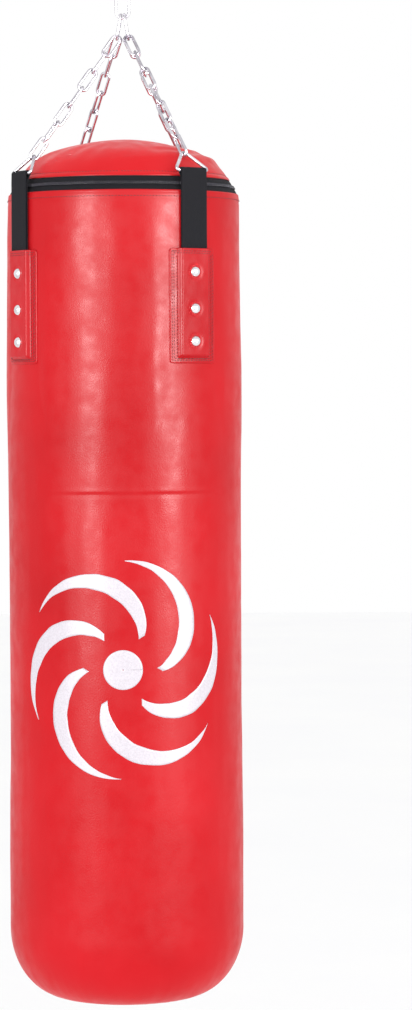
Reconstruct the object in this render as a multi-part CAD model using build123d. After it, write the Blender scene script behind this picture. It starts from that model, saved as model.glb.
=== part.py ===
from build123d import *
import math
import os

# Heavy punching bag on four leg chains, hanging from a swivel snap hook.
# Origin: the inside bearing point of the hook's bow. +Z is up, -Y is the front.
# Azimuths are degrees about the bag's axis: 0 is the front, 90 is +X.

# ---- bag ----
BAG_RADIUS = 160.0
BAG_HEIGHT = 1180.0
DOME_TOP = -323.0
BAG_BOTTOM = DOME_TOP - BAG_HEIGHT
LEATHER = 1.2
CROWN_RADIUS = 300.0
CROWN_REACH = 100.0
SHOULDER_RADIUS = 88.0
LID_EDGE_RADIUS = 147.0
BAND_WIDTH = 22.0
CORNER_WIDTH = 76.0
CORNER_HEIGHT = 94.0
BOTTOM_SAG = 4.0
SEAM_GAP = 0.1

# ---- lining, foam and filling ----
LINER_INSET = 1.5
LINER = 0.8
FOAM_INSET = 2.8
FOAM = 18.0
FOAM_TOP = DOME_TOP - 92.0
FOAM_BOTTOM = BAG_BOTTOM + CORNER_HEIGHT + 2.0
BASE_FOAM = 28.0
LID_PAD_INSET = 1.6
LID_PAD = 16.0
FILL_CLEARANCE = 0.6

# ---- zipper ----
HINGE_AZIMUTH = 175.0
HINGE_HALF_ANGLE = 12.0
TAPE = 1.0
TAPE_INSET = 0.2
COIL_WIDTH = 2.35
COIL_HEIGHT = 1.9
SLIDER_AZIMUTH = 158.0
SLIDER_LENGTH = 14.0
TAB_LENGTH = 21.0
TAB_WIDTH = 6.4

# ---- straps, patches and rivets ----
STRAP_AZIMUTHS = {"front_right": 37.0, "back_right": 142.0, "back_left": -152.0, "front_left": -59.0}
WEBBING_WIDTH = 42.0
WEBBING = 1.8
STRAP_INNER = 161.0
STRAP_OUTER = STRAP_INNER + 2 * WEBBING
PATCH_WIDTH = 75.0
PATCH_HEIGHT = 155.0
PATCH_TOP = DOME_TOP - 154.0
PATCH = 1.5
PATCH_INNER = BAG_RADIUS + 0.3
STRAP_END = PATCH_TOP - PATCH_HEIGHT + 12.0
BULGE_WIDTH = WEBBING_WIDTH + 6.0
BULGE_OUTER = STRAP_OUTER + 0.2 + PATCH
RIVET_DROPS = (31.5, 81.0, 125.0)
RIVET_HEAD = 14.5
RIVET_RISE = 4.6
RIVET_POST = 4.0
RIVET_HOLE = 4.3
BACK_DIAMETER = 13.0

# ---- triangle rings ----
RING_WIRE = 4.5
RING_HALF_WIDTH = 28.0
RING_PEAK = 35.0
RING_APEX_BEND = 6.0
RING_CORNER_BEND = 3.1
BAR_RADIUS = 160.0

# ---- chain ----
CHAIN_WIRE = 4.0
LINK_BEND = 6.0
LINK_INNER_LENGTH = 31.0
LINKS_PER_LEG = 7
WIDE_BEND = 9.0
LEG_GAP = 0.06
LEG_SLOPE = 0.78
JOINT_GAP = 0.45
COLLECTOR_SPREAD = 20.0
COLLECTOR_TILT = 9.5

# ---- swivel snap hook ----
HOOK_WIRE = 8.0
HOOK_BEND = 14.0
HOOK_LOW_BEND_Z = -45.0
NOSE_END_Z = -17.0
BOSS_TOP = -52.0
BOSS_BOTTOM = -70.0
BOSS_DIAMETER = 16.0
SHANK_DIAMETER = 6.0
SHANK_FIT = 0.05
SHANK_HEAD = 10.0
AXIAL_GAP = 0.3
EYE_BEND = 9.0
EYE_WIRE = 5.0
EYE_CENTRE_Z = -83.0
GATE_PIVOT_Z = -47.0
GATE_DIAMETER = 6.0
PIN_DIAMETER = 3.0
LUG_WIDTH = 11.0
LUG_SLOT = 7.0
TONGUE = 3.0


def outward(azimuth):
    """Horizontal unit vector away from the bag's axis."""
    angle = math.radians(azimuth)
    return Vector(math.sin(angle), -math.cos(angle), 0)


def along(azimuth):
    """Horizontal unit vector around the bag, towards growing azimuth."""
    angle = math.radians(azimuth)
    return Vector(math.cos(angle), math.sin(angle), 0)


def turned(shape, azimuth):
    """Turn what is drawn on the +X side to an azimuth."""
    return Rot(0, 0, azimuth - 90) * shape


def largest(shape):
    """The biggest solid of a shape, without loose scraps."""
    return shape.solids().sort_by(SortBy.VOLUME)[-1]


# ---- outline of the bag, as points in the (radius, z) half plane ----
CROWN_ANGLE = math.asin(CROWN_REACH / CROWN_RADIUS)
SHOULDER_CENTRE = (
    (CROWN_RADIUS - SHOULDER_RADIUS) * math.sin(CROWN_ANGLE),
    DOME_TOP - CROWN_RADIUS + (CROWN_RADIUS - SHOULDER_RADIUS) * math.cos(CROWN_ANGLE),
)
BAND_ANGLE = math.asin((LID_EDGE_RADIUS - SHOULDER_CENTRE[0]) / SHOULDER_RADIUS)
BAND_NORMAL = (math.sin(BAND_ANGLE), math.cos(BAND_ANGLE))
BAND_SLOPE = (math.cos(BAND_ANGLE), -math.sin(BAND_ANGLE))
BAND_TOP = (
    SHOULDER_CENTRE[0] + SHOULDER_RADIUS * BAND_NORMAL[0],
    SHOULDER_CENTRE[1] + SHOULDER_RADIUS * BAND_NORMAL[1],
)


def circle_point(centre, radius, angle):
    """Point on an arc, with the angle measured from straight up."""
    return (centre[0] + radius * math.sin(angle), centre[1] + radius * math.cos(angle))


def band_point(down, proud):
    """Point on the sloping band: distance down the slope, height above it."""
    return (
        BAND_TOP[0] + down * BAND_SLOPE[0] + proud * BAND_NORMAL[0],
        BAND_TOP[1] + down * BAND_SLOPE[1] + proud * BAND_NORMAL[1],
    )


EDGE_BEND = (BAG_RADIUS - band_point(BAND_WIDTH, 0)[0]) / (1 - math.sin(BAND_ANGLE))
EDGE_CENTRE = band_point(BAND_WIDTH, -EDGE_BEND)


def spatial(point):
    """A (radius, z) point as a point of the XZ plane."""
    return Vector(point[0], 0, point[1])


def line(start, end):
    return Line(spatial(start), spatial(end))


def arc(centre, radius, start_angle, end_angle):
    """Circular arc in the half plane."""
    middle_angle = (start_angle + end_angle) / 2
    start = spatial(circle_point(centre, radius, start_angle))
    middle = spatial(circle_point(centre, radius, middle_angle))
    end = spatial(circle_point(centre, radius, end_angle))
    return ThreePointArc(start, middle, end)


def corner(inset, reverse=False):
    """Quarter ellipse of the bag's rounded bottom edge."""
    centre_r = BAG_RADIUS - CORNER_WIDTH
    centre_z = BAG_BOTTOM + CORNER_HEIGHT
    wide = CORNER_WIDTH - inset
    high = CORNER_HEIGHT - inset
    points = []
    for step in range(7):
        angle = math.radians(15 * step)
        points.append(Vector(centre_r + wide * math.cos(angle), 0, centre_z - high * math.sin(angle)))
    tangents = [Vector(0, 0, -1), Vector(-1, 0, 0)]
    if reverse:
        points.reverse()
        tangents = [Vector(1, 0, 0), Vector(0, 0, 1)]
    return Spline(points, tangents=tangents)


def lid_outline(inset):
    """Top of the lid from the axis out to the band."""
    crown = arc((0, DOME_TOP - CROWN_RADIUS), CROWN_RADIUS - inset, 0, CROWN_ANGLE)
    shoulder = arc(SHOULDER_CENTRE, SHOULDER_RADIUS - inset, CROWN_ANGLE, BAND_ANGLE)
    return [crown, shoulder]


def spun(edges, start=None, sweep_angle=360.0):
    """Turn a closed outline about the bag's axis, all round or as a sector."""
    solid = revolve(make_face(edges), axis=Axis.Z, revolution_arc=sweep_angle)
    if start is None:
        return solid
    return turned(solid, start)


def polygon(points):
    """Closed outline through (radius, z) points."""
    return [line(a, b) for a, b in zip(points, points[1:] + points[:1])]


def shell_edges(outer, inner):
    """Close two lists of edges that run the same way into one outline."""
    outer_start = outer[0] @ 0
    outer_end = outer[-1] @ 1
    inner_start = inner[0] @ 0
    inner_end = inner[-1] @ 1
    return outer + [Line(outer_end, inner_end)] + inner + [Line(inner_start, outer_start)]


# ---- chain links ----
def closed_wire_loop(path, wire, start, direction):
    """Round wire along a closed path."""
    section = Plane(origin=start, z_dir=direction) * Circle(wire / 2)
    return sweep(section, path=path)


def oval_link(wire, bend, inner_length):
    """Welded link in the XY plane, long along Y, centred on the origin."""
    half = inner_length / 2 + wire / 2 - bend
    side = Line((bend, -half, 0), (bend, half, 0))
    top = ThreePointArc((bend, half, 0), (0, half + bend, 0), (-bend, half, 0))
    back = Line((-bend, half, 0), (-bend, -half, 0))
    bottom = ThreePointArc((-bend, -half, 0), (0, -half - bend, 0), (bend, -half, 0))
    path = Wire([side, top, back, bottom])
    return closed_wire_loop(path, wire, (bend, -half, 0), (0, 1, 0))


def placed_link(link, top, down, across, inner_length):
    """Hang a link by its top wire, with its long way down and its width across."""
    centre = top + down * ((inner_length + CHAIN_WIRE) / 2)
    return Plane(origin=centre, x_dir=across, z_dir=across.cross(down)) * link


def turned_about(vector, axis, degrees):
    """Rotate a vector about a unit axis."""
    angle = math.radians(degrees)
    sideways = axis.cross(vector)
    return vector * math.cos(angle) + sideways * math.sin(angle) + axis * (
        axis.dot(vector) * (1 - math.cos(angle))
    )


LINK_SPAN = LINK_INNER_LENGTH + CHAIN_WIRE
EYE_BAR_Z = EYE_CENTRE_Z - EYE_BEND
UPPER_TOP = EYE_BAR_Z + (EYE_WIRE + CHAIN_WIRE) / 2 + JOINT_GAP
UPPER_BAR_Z = UPPER_TOP - LINK_SPAN
LOWER_TOP = UPPER_BAR_Z + CHAIN_WIRE + JOINT_GAP
LOWER_BAR_Z = LOWER_TOP - LINK_SPAN
BAG_PIVOT_Z = LOWER_BAR_Z + WIDE_BEND * (1 - math.cos(math.radians(COLLECTOR_SPREAD)))


def collector_frame(side):
    """Top wire point and hanging direction of the left (-1) or right (+1) collector."""
    spread = math.radians(COLLECTOR_SPREAD)
    tilt = math.radians(COLLECTOR_TILT)
    down = Vector(side * math.sin(tilt), 0, -math.cos(tilt))
    seat = Vector(side * WIDE_BEND * math.sin(spread), 0, BAG_PIVOT_Z)
    return seat - down * (CHAIN_WIRE + JOINT_GAP), down


def leg_start(azimuth):
    """Where a leg chain hangs on its collector: the collector's wire, and its direction there."""
    heading = outward(azimuth)
    side = 1 if heading.X > 0 else -1
    top, down = collector_frame(side)
    bend_centre = top + down * (LINK_SPAN - WIDE_BEND)
    lean = math.atan(abs(heading.Y) * LEG_SLOPE)
    forward = Vector(0, math.copysign(1.0, heading.Y), 0)
    point = bend_centre + (down * math.cos(lean) + forward * math.sin(lean)) * WIDE_BEND
    wire_direction = forward * math.cos(lean) - down * math.sin(lean)
    return point, wire_direction


RING_HALF_ANGLE = math.atan(RING_HALF_WIDTH / RING_PEAK)
RING_SLANT = RING_PEAK - RING_APEX_BEND / math.sin(RING_HALF_ANGLE) + RING_APEX_BEND
LEG_LENGTH = (
    LINKS_PER_LEG * LINK_SPAN
    - (LINKS_PER_LEG - 1) * (CHAIN_WIRE + LEG_GAP)
    - (CHAIN_WIRE + RING_WIRE) / 2
    - CHAIN_WIRE
    - 2 * LEG_GAP
)


def ring_ends(azimuth):
    """Middle of a ring's bar, and its apex, in line with the taut leg chain."""
    start, wire_direction = leg_start(azimuth)
    foot = outward(azimuth) * BAR_RADIUS
    reach = math.hypot(foot.X - start.X, foot.Y - start.Y)
    drop = math.sqrt((LEG_LENGTH + RING_SLANT) ** 2 - reach ** 2)
    bar = Vector(foot.X, foot.Y, start.Z - drop)
    apex = bar + (start - bar).normalized() * RING_SLANT
    return bar, apex


def triangle_ring(azimuth):
    bar, apex = ring_ends(azimuth)
    slant = (apex - bar).normalized()
    across = along(azimuth)
    outline = FilletPolyline(
        (-RING_HALF_WIDTH, 0, 0),
        (RING_HALF_WIDTH, 0, 0),
        (0, RING_PEAK, 0),
        close=True,
        radius=[RING_CORNER_BEND, RING_CORNER_BEND, RING_APEX_BEND],
    )
    flat = closed_wire_loop(Wire(outline.edges()), RING_WIRE, (0, 0, 0), (1, 0, 0))
    return Plane(origin=bar, x_dir=across, z_dir=across.cross(slant)) * flat


def leg_chain(azimuth):
    """Seven links, turned step by step from the collector's wire to the ring's."""
    start, wire_direction = leg_start(azimuth)
    bar, apex = ring_ends(azimuth)
    down = (apex - start).normalized()
    first = down.cross(wire_direction).normalized()
    last = down.cross(along(azimuth)).normalized()
    twist = math.degrees(math.atan2(first.cross(last).dot(down), first.dot(last)))
    twist = (twist + 90) % 180 - 90
    turn = 90 + twist / (LINKS_PER_LEG - 1)
    pitch = LINK_SPAN - CHAIN_WIRE - LEG_GAP
    link = oval_link(CHAIN_WIRE, LINK_BEND, LINK_INNER_LENGTH)
    links = []
    for number in range(LINKS_PER_LEG):
        top = start + down * (number * pitch - CHAIN_WIRE - LEG_GAP)
        across = turned_about(first, down, number * turn)
        links.append(placed_link(link, top, down, across, LINK_INNER_LENGTH))
    return Compound(children=links)


# ---- snap hook ----
def hook_body():
    low_z = HOOK_LOW_BEND_Z
    high_z = HOOK_WIRE / 2 - HOOK_BEND
    nose = Line((HOOK_BEND, 0, NOSE_END_Z), (HOOK_BEND, 0, high_z))
    bow = ThreePointArc((HOOK_BEND, 0, high_z), (0, 0, high_z + HOOK_BEND), (-HOOK_BEND, 0, high_z))
    spine = Line((-HOOK_BEND, 0, high_z), (-HOOK_BEND, 0, low_z))
    foot = ThreePointArc((-HOOK_BEND, 0, low_z), (0, 0, low_z - HOOK_BEND), (HOOK_BEND, 0, low_z))
    section = Plane(origin=(HOOK_BEND, 0, NOSE_END_Z), z_dir=(0, 0, 1)) * Circle(HOOK_WIRE / 2)
    body = sweep(section, path=Wire([nose, bow, spine, foot]))
    boss_middle = (BOSS_TOP + BOSS_BOTTOM) / 2
    body += Pos(0, 0, boss_middle) * Cylinder(BOSS_DIAMETER / 2, BOSS_TOP - BOSS_BOTTOM)
    lug = Pos(HOOK_BEND, 0, GATE_PIVOT_Z - 1) * Box(9, LUG_WIDTH, 9)
    body += fillet(lug.edges().filter_by(Axis.Y), 3)
    body -= Pos(HOOK_BEND, 0, GATE_PIVOT_Z + 5) * Box(20, LUG_SLOT, 18)
    body -= Pos(0, 0, boss_middle) * Cylinder(SHANK_DIAMETER / 2 + SHANK_FIT, 60)
    pin_hole = Rot(90, 0, 0) * Cylinder(PIN_DIAMETER / 2 + 0.01, 40)
    body -= Pos(HOOK_BEND, 0, GATE_PIVOT_Z) * pin_hole
    head_room = BOSS_TOP + 5
    body -= Pos(0, 0, head_room) * Cylinder(SHANK_HEAD / 2 + AXIAL_GAP, 10)
    return body


def swivel_eye():
    ring = Rot(90, 0, 0) * Torus(EYE_BEND, EYE_WIRE / 2)
    eye = Pos(0, 0, EYE_CENTRE_Z) * ring
    collar_top = BOSS_BOTTOM - AXIAL_GAP
    eye += Pos(0, 0, collar_top - 2) * Cylinder(5.5, 4)
    head_bottom = BOSS_TOP + AXIAL_GAP
    shank_length = head_bottom - collar_top + 1
    eye += Pos(0, 0, (head_bottom + collar_top) / 2) * Cylinder(SHANK_DIAMETER / 2, shank_length)
    head = Pos(0, 0, head_bottom + 1.2) * Cylinder(SHANK_HEAD / 2, 2.4)
    eye += chamfer(head.edges().group_by(Axis.Z)[-1], 0.8)
    return eye


def hook_gate():
    top_z = NOSE_END_Z - 0.6
    bottom_z = GATE_PIVOT_Z + 5.5
    rod = Pos(HOOK_BEND, 0, (top_z + bottom_z) / 2) * Cylinder(GATE_DIAMETER / 2, top_z - bottom_z)
    gate = chamfer(rod.edges().group_by(Axis.Z)[-1], 0.6)
    tongue_y = -LUG_SLOT / 2 + AXIAL_GAP + TONGUE / 2
    gate += Pos(HOOK_BEND, tongue_y, GATE_PIVOT_Z + 3.5) * Box(5, TONGUE, 7)
    gate += Pos(HOOK_BEND, tongue_y, GATE_PIVOT_Z) * (Rot(90, 0, 0) * Cylinder(2.9, TONGUE))
    bore = Rot(90, 0, 0) * Cylinder(PIN_DIAMETER / 2 + 0.05, 20)
    return gate - Pos(HOOK_BEND, 0, GATE_PIVOT_Z) * bore


def gate_pin():
    shank = Rot(90, 0, 0) * Cylinder(PIN_DIAMETER / 2, LUG_WIDTH)
    return Pos(HOOK_BEND, 0, GATE_PIVOT_Z) * chamfer(shank.edges().group_by(Axis.Y)[-1], 0.3)


def gate_spring():
    """Torsion coil on the pin, beside the gate's tongue."""
    coil = Helix(pitch=0.85, height=2.1, radius=2.1)
    start = coil @ 0
    direction = coil % 0
    wire = sweep(Plane(origin=start, z_dir=direction) * Circle(0.35), path=coil, is_frenet=True)
    return Pos(HOOK_BEND, LUG_SLOT / 2 - 0.5, GATE_PIVOT_Z) * (Rot(90, 0, 0) * wire)


# ---- straps, patches, rivets ----
def rivet_spots(azimuth):
    """Rivet axes through a patch: a plane at the bag's axis, facing outward, at each height."""
    heading = outward(azimuth)
    return [Plane(origin=(0, 0, PATCH_TOP - drop), z_dir=heading) for drop in RIVET_DROPS]


def drilled(shape, diameter, start, end, azimuths):
    """Cut the rivets' round holes between two radii."""
    for azimuth in azimuths:
        for spot in rivet_spots(azimuth):
            shape -= spot * (Pos(0, 0, (start + end) / 2) * Cylinder(diameter / 2, end - start))
    return shape


def strap(azimuth):
    """Doubled webbing, looped round the ring's bar and sewn under the patch."""
    loop = RING_WIRE / 2 + 0.15 + WEBBING
    eye = RING_WIRE / 2 + 0.15
    bar_z = ring_ends(azimuth)[0].Z
    pinch = bar_z - 12
    mid = STRAP_INNER + WEBBING
    outer = make_face(
        polygon([
            (BAR_RADIUS + loop, bar_z), (STRAP_OUTER, pinch), (STRAP_OUTER, STRAP_END),
            (STRAP_INNER, STRAP_END), (STRAP_INNER, pinch), (BAR_RADIUS - loop, bar_z),
        ])
    )
    hollow = make_face(polygon([(BAR_RADIUS + eye, bar_z), (mid, pinch + 2), (BAR_RADIUS - eye, bar_z)]))
    bar_plane = Plane(origin=(BAR_RADIUS, 0, bar_z), z_dir=(0, -1, 0))
    outer += bar_plane * Circle(loop)
    hollow += bar_plane * Circle(eye)
    solid = extrude(outer - hollow, amount=WEBBING_WIDTH / 2, dir=(0, 1, 0), both=True)
    return drilled(turned(solid, azimuth), RIVET_HOLE, 155, 170, [azimuth])


def patch(azimuth):
    """Leather patch that wraps the wall, raised over the strap."""
    low = PATCH_TOP - PATCH_HEIGHT
    half_angle = math.degrees(PATCH_WIDTH / 2 / BAG_RADIUS)
    outer = PATCH_INNER + PATCH
    outline = polygon([(PATCH_INNER, low), (outer, low), (outer, PATCH_TOP), (PATCH_INNER, PATCH_TOP)])
    solid = spun(outline, azimuth - half_angle, 2 * half_angle)
    heading = outward(azimuth)
    middle_z = (low + PATCH_TOP) / 2
    frame = Plane(origin=(0, 0, middle_z), x_dir=along(azimuth), z_dir=heading)
    inner = 150.0
    bulge_top = STRAP_END - 4
    bulge_height = PATCH_TOP - bulge_top
    lift = (PATCH_TOP + bulge_top) / 2 - middle_z
    raised = Box(BULGE_WIDTH, bulge_height, BULGE_OUTER - inner)
    raised = Pos(0, lift, (BULGE_OUTER + inner) / 2) * raised
    bulge = frame * raised
    bulge -= Pos(0, 0, middle_z) * Cylinder(PATCH_INNER, PATCH_HEIGHT + 10)
    solid += bulge
    room = STRAP_OUTER + 0.2
    room_height = PATCH_TOP - STRAP_END + 20.5
    room_lift = PATCH_TOP + 20 - room_height / 2 - middle_z
    cavity = Box(WEBBING_WIDTH + 0.6, room_height, room - inner)
    solid -= frame * (Pos(0, room_lift, (room + inner) / 2) * cavity)
    return largest(drilled(solid, RIVET_HOLE, 155, 172, [azimuth]))


def rivets(azimuth):
    """Three domed rivets, each a head with its own post."""
    sphere_radius = (RIVET_HEAD ** 2 / 4 + RIVET_RISE ** 2) / (2 * RIVET_RISE)
    seat = BULGE_OUTER + 0.1
    post_end = 155.6
    pieces = []
    for spot in rivet_spots(azimuth):
        ball = Pos(0, 0, seat + RIVET_RISE - sphere_radius) * Sphere(sphere_radius)
        head = ball & (Pos(0, 0, seat + RIVET_RISE / 2) * Cylinder(RIVET_HEAD, RIVET_RISE))
        post = Pos(0, 0, (seat + 1 + post_end) / 2) * Cylinder(RIVET_POST / 2, seat + 1 - post_end)
        pieces.append(spot * (head + post))
    return Compound(children=[piece.solids()[0] for piece in pieces])


def rivet_backs(azimuth):
    """Washers that the posts are peened over, inside the lining."""
    washer = Cylinder(BACK_DIAMETER / 2, 1.3) - Cylinder(RIVET_POST / 2 + 0.05, 3)
    pieces = [spot * (Pos(0, 0, 156.6) * washer) for spot in rivet_spots(azimuth)]
    return Compound(children=[piece.solids()[0] for piece in pieces])


# ---- cover, lining, foam, filling ----
def wall_outline(inset):
    """Wall from the band's lower edge down and round to the bottom seam."""
    edge = arc(EDGE_CENTRE, EDGE_BEND - inset, BAND_ANGLE, math.pi / 2)
    side_top = circle_point(EDGE_CENTRE, EDGE_BEND - inset, math.pi / 2)
    side = line(side_top, (BAG_RADIUS - inset, BAG_BOTTOM + CORNER_HEIGHT))
    return [edge, side, corner(inset)]


def wall_shell(outer_inset, thickness):
    edges = shell_edges(wall_outline(outer_inset), wall_outline(outer_inset + thickness))
    return spun(edges)


def dish(inset, rim):
    """Arc of the sagging bottom, from the axis out to the rim."""
    seam = BAG_RADIUS - CORNER_WIDTH
    radius = (seam ** 2 + BOTTOM_SAG ** 2) / (2 * BOTTOM_SAG)
    centre = (0, BAG_BOTTOM - BOTTOM_SAG + radius)
    reach = math.asin(rim / (radius - inset))
    return arc(centre, radius - inset, math.pi, math.pi - reach)


def cover_bottom():
    rim = BAG_RADIUS - CORNER_WIDTH - SEAM_GAP
    return spun(shell_edges([dish(0, rim)], [dish(LEATHER, rim)]))


def lid_shell(inset, thickness):
    return spun(shell_edges(lid_outline(inset), lid_outline(inset + thickness)))


def foam_wall():
    outer = BAG_RADIUS - FOAM_INSET
    inner = outer - FOAM
    tube = spun(polygon([(inner, FOAM_BOTTOM), (outer, FOAM_BOTTOM), (outer, FOAM_TOP), (inner, FOAM_TOP)]))
    return drilled(tube, BACK_DIAMETER + 1, 155.2, 162, STRAP_AZIMUTHS.values())


def base_foam():
    rim = BAG_RADIUS - CORNER_WIDTH - 3
    return spun(shell_edges([dish(LEATHER + 1.5, rim)], [dish(LEATHER + 1.5 + BASE_FOAM, rim)]))


def rag_filling():
    """Packed rags: they fill the foam tube, between the base foam and the lid pad."""
    radius = BAG_RADIUS - FOAM_INSET - FOAM - FILL_CLEARANCE
    low = BAG_BOTTOM + BASE_FOAM + 5
    corner_bottom = FOAM_BOTTOM
    cap_inset = LID_PAD_INSET + LID_PAD + FILL_CLEARANCE
    cap = arc((0, DOME_TOP - CROWN_RADIUS), CROWN_RADIUS - cap_inset, 0, CROWN_ANGLE)
    cap_end = circle_point((0, DOME_TOP - CROWN_RADIUS), CROWN_RADIUS - cap_inset, CROWN_ANGLE)
    walls = [
        line(cap_end, (radius, FOAM_TOP)), line((radius, FOAM_TOP), (radius, corner_bottom)),
        line((radius, corner_bottom), (BAG_RADIUS - CORNER_WIDTH - 2, low)),
        line((BAG_RADIUS - CORNER_WIDTH - 2, low), (0, low)),
        line((0, low), (0, DOME_TOP - cap_inset)),
    ]
    return spun([cap] + walls)


# ---- zipper ----
def band_strip(down_start, down_end, proud_start, proud_end, start, sweep_angle):
    """Strip that follows the sloping band around part of the bag."""
    corners = [
        band_point(down_start, proud_start), band_point(down_end, proud_start),
        band_point(down_end, proud_end), band_point(down_start, proud_end),
    ]
    return spun(polygon(corners), start, sweep_angle)


TRACK_START = HINGE_AZIMUTH + HINGE_HALF_ANGLE - 360 + 0.2
TRACK_SWEEP = 360 - 2 * HINGE_HALF_ANGLE - 0.4
TRACK_MIDDLE = BAND_WIDTH / 2
TAPE_EDGE = 1.4
COIL_SEAM = 0.05


def tape(side):
    """Woven tape above (-1) or below (+1) the coils."""
    near = TRACK_MIDDLE + side * TAPE_EDGE
    far = TRACK_MIDDLE + side * (TRACK_MIDDLE - SEAM_GAP)
    low = min(near, far)
    high = max(near, far)
    return band_strip(low, high, -TAPE_INSET - TAPE, -TAPE_INSET, TRACK_START, TRACK_SWEEP)


def coil(side):
    near = TRACK_MIDDLE + side * COIL_SEAM
    far = near + side * COIL_WIDTH
    low = min(near, far)
    high = max(near, far)
    return band_strip(low, high, SEAM_GAP - TAPE_INSET, COIL_HEIGHT - TAPE_INSET, TRACK_START, TRACK_SWEEP)


def end_stops():
    """A crimped stop across both coils at each end of the track."""
    length = 1.0
    low = TRACK_MIDDLE - 4
    high = TRACK_MIDDLE + 4
    stops = []
    for start in (TRACK_START - length - 0.1, TRACK_START + TRACK_SWEEP + 0.1):
        stops.append(band_strip(low, high, SEAM_GAP, COIL_HEIGHT - TAPE_INSET, start, length).solids()[0])
    return Compound(children=stops)


SLIDER_FLOOR = 0.1
SLIDER_ROOF = 2.1
SLIDER_TOP = 3.6
SLIDER_HALF_WIDTH = 6.6
SLIDER_FLANGE = 1.6
TAB_PIVOT = SLIDER_TOP + 0.3 + 0.8


def slider_frame():
    """At the slider: X down the slope, Y around the bag, Z out of the band."""
    origin = spatial(band_point(TRACK_MIDDLE, 0))
    down = Vector(BAND_SLOPE[0], 0, BAND_SLOPE[1])
    out = Vector(BAND_NORMAL[0], 0, BAND_NORMAL[1])
    return Plane(origin=origin, x_dir=down, z_dir=out)


def zipper_slider():
    """Saddle over both coils, with a bridge that holds the tab."""
    height = SLIDER_TOP - SLIDER_FLOOR
    width = 2 * SLIDER_HALF_WIDTH
    body = Pos(0, 0, SLIDER_FLOOR + height / 2) * Box(width, SLIDER_LENGTH, height)
    body = fillet(body.edges().filter_by(Axis.Z), 2.0)
    room = SLIDER_ROOF - SLIDER_FLOOR + 1
    channel = Box(width - 2 * SLIDER_FLANGE, SLIDER_LENGTH + 4, room)
    body -= Pos(0, 0, SLIDER_ROOF - room / 2) * channel
    bridge = Pos(0, 0, SLIDER_TOP + 1.4) * Box(2.4, 11.2, 3.8)
    bridge -= Pos(0, 0, SLIDER_TOP + 1.1) * Box(4, 8.8, 2.2)
    body += bridge
    return turned(slider_frame() * body, SLIDER_AZIMUTH)


def pull_tab():
    """Tab whose end bar sits under the slider's bridge; it lies along the track."""
    thickness = 1.2
    plate_start = 7.2
    arm = 1.0
    bar = Rot(0, 90, 0) * Cylinder(0.8, TAB_WIDTH)
    plate_length = TAB_LENGTH - plate_start
    plate = Pos(0, plate_start + plate_length / 2, 0) * Box(TAB_WIDTH, plate_length, thickness)
    plate = fillet(plate.edges().filter_by(Axis.Z).group_by(Axis.Y)[-1], 2.4)
    plate -= Pos(0, TAB_LENGTH - 4, 0) * Cylinder(1.5, 5)
    tab = bar + plate
    for side in (-1, 1):
        tab += Pos(side * (TAB_WIDTH - arm) / 2, plate_start / 2, 0) * Box(arm, plate_start + 0.4, thickness)
    placed = slider_frame() * (Pos(0, 0, TAB_PIVOT) * tab)
    return turned(placed, SLIDER_AZIMUTH)


def build_parts():
    """Every piece by its node name."""
    model_azimuth = STRAP_AZIMUTHS["front_right"]
    model_patch = patch(model_azimuth)
    wide_link = oval_link(CHAIN_WIRE, WIDE_BEND, LINK_INNER_LENGTH)
    plain_link = oval_link(CHAIN_WIRE, LINK_BEND, LINK_INNER_LENGTH)
    down = Vector(0, 0, -1)
    parts = {
        "hook_body": hook_body(),
        "hook_gate": hook_gate(),
        "gate_pin": gate_pin(),
        "gate_spring": gate_spring(),
        "swivel_eye": swivel_eye(),
        "riser_link_upper": placed_link(
            plain_link, Vector(0, 0, UPPER_TOP), down, Vector(0, 1, 0), LINK_INNER_LENGTH
        ),
        "riser_link_lower": placed_link(
            wide_link, Vector(0, 0, LOWER_TOP), down, Vector(1, 0, 0), LINK_INNER_LENGTH
        ),
        "cover_sidewall": drilled(wall_shell(0, LEATHER), RIVET_HOLE, 150, 165, STRAP_AZIMUTHS.values()),
        "cover_bottom": cover_bottom(),
        "lid_cover": lid_shell(0, LEATHER),
        "lid_pad": lid_shell(LID_PAD_INSET, LID_PAD),
        "inner_liner": drilled(wall_shell(LINER_INSET, LINER), RIVET_HOLE, 150, 165, STRAP_AZIMUTHS.values()),
        "foam_wall": foam_wall(),
        "bottom_foam_disc": base_foam(),
        "rag_filling": rag_filling(),
        "zipper_tape_upper": tape(-1),
        "zipper_tape_lower": tape(1),
        "zipper_coil_upper": coil(-1),
        "zipper_coil_lower": coil(1),
        "zipper_end_stops": end_stops(),
        "zipper_slider": zipper_slider(),
        "zipper_pull_tab": pull_tab(),
        "lid_hinge_strip": band_strip(
            SEAM_GAP, BAND_WIDTH - SEAM_GAP, -TAPE_INSET - TAPE, -TAPE_INSET,
            HINGE_AZIMUTH - HINGE_HALF_ANGLE, 2 * HINGE_HALF_ANGLE,
        ),
    }
    for name, side in (("left", -1), ("right", 1)):
        top, direction = collector_frame(side)
        parts["collector_link_" + name] = placed_link(
            wide_link, top, direction, Vector(0, 1, 0), LINK_INNER_LENGTH
        )
    for place, azimuth in STRAP_AZIMUTHS.items():
        parts["leg_chain_" + place] = leg_chain(azimuth)
        parts["triangle_ring_" + place] = triangle_ring(azimuth)
        parts["strap_" + place] = strap(azimuth)
        parts["strap_patch_" + place] = Rot(0, 0, azimuth - model_azimuth) * model_patch
        parts["rivets_" + place] = rivets(azimuth)
        parts["rivet_backs_" + place] = rivet_backs(azimuth)
    return parts


if __name__ == "__main__":
    os.makedirs("parts", exist_ok=True)
    for node, shape in build_parts().items():
        export_step(shape, "parts/" + node + ".step")
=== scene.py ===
"""Looks of the heavy punching bag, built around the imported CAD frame. Metres, CAD frame, front is -Y."""
import math

import bpy
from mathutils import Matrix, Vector, noise


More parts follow.
